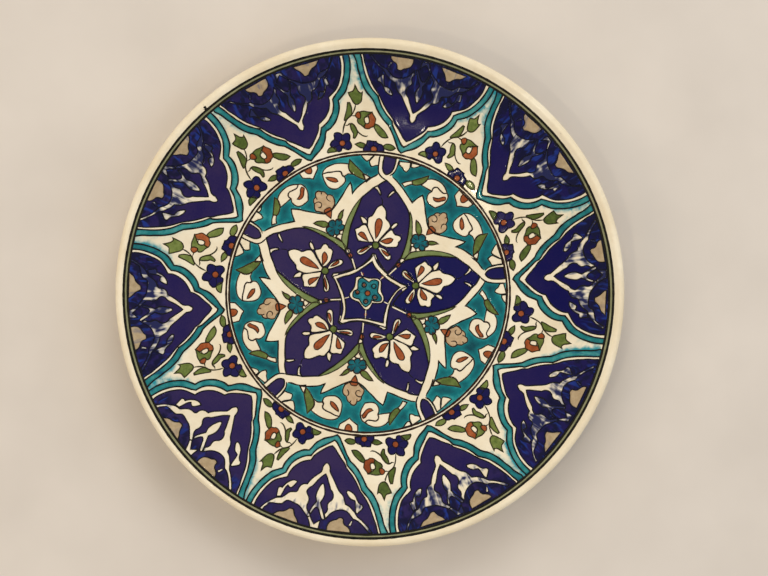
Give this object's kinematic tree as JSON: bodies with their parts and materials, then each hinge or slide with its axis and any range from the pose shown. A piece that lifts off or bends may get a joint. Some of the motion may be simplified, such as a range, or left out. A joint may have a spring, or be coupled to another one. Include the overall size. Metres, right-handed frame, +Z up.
{
  "type": "hand painted ceramic plate",
  "caption": "Round coupe plate in glazed fritware with a turned foot ring, painted with cobalt cartouches, flower sprays and a petalled rosette in a turquoise roundel.",
  "frame": {"origin": "on the table under the middle of the plate, in the plane of the foot ring's resting edge", "axes": "+Z up, out of the painted face, along the plate's axis; +Y towards the side that is up in the picture; +X to the right"},
  "size_m": [0.25, 0.25, 0.0327],
  "materials": {
    "fritware_clay": "matte",
    "white_slip": "gloss",
    "clear_back_glaze": "gloss",
    "outline_black": "gloss",
    "rim_green": "gloss",
    "turquoise": "gloss",
    "cobalt": "gloss"
  },
  "bodies": {
    "root": {"clay_body": "fritware_clay", "white_face_slip": "white_slip", "back_glaze": "clear_back_glaze", "foot_recess_glaze": "clear_back_glaze", "rim_line_inner": "outline_black", "rim_green_band": "rim_green", "rim_line_outer": "outline_black", "roundel_ring": "outline_black", "cartouche_ribbon_01": "turquoise", "cartouche_cobalt_01": "cobalt", "spray_blossom_01": "cobalt", "cartouche_ribbon_02": "turquoise", "cartouche_cobalt_02": "cobalt", "spray_blossom_02": "cobalt", "cartouche_ribbon_03": "turquoise", "cartouche_cobalt_03": "cobalt", "spray_blossom_03": "cobalt", "cartouche_ribbon_04": "turquoise", "cartouche_cobalt_04": "cobalt", "spray_blossom_04": "cobalt", "cartouche_ribbon_05": "turquoise", "cartouche_cobalt_05": "cobalt", "spray_blossom_05": "cobalt", "cartouche_ribbon_06": "turquoise", "cartouche_cobalt_06": "cobalt", "spray_blossom_06": "cobalt", "cartouche_ribbon_07": "turquoise", "cartouche_cobalt_07": "cobalt", "spray_blossom_07": "cobalt", "cartouche_ribbon_08": "turquoise", "cartouche_cobalt_08": "cobalt", "spray_blossom_08": "cobalt", "cartouche_ribbon_09": "turquoise", "cartouche_cobalt_09": "cobalt", "spray_blossom_09": "cobalt", "cartouche_ribbon_10": "turquoise", "cartouche_cobalt_10": "cobalt", "spray_blossom_10": "cobalt", "rosette_petal_1": "cobalt", "roundel_tab_1": "cobalt", "roundel_ground_1": "turquoise", "rosette_petal_2": "cobalt", "roundel_tab_2": "cobalt", "roundel_ground_2": "turquoise", "rosette_petal_3": "cobalt", "roundel_tab_3": "cobalt", "roundel_ground_3": "turquoise", "rosette_petal_4": "cobalt", "roundel_tab_4": "cobalt", "roundel_ground_4": "turquoise", "rosette_petal_5": "cobalt", "roundel_tab_5": "cobalt", "roundel_ground_5": "turquoise", "centre_star": "cobalt", "centre_flower": "turquoise"}
  },
  "joints": []
}
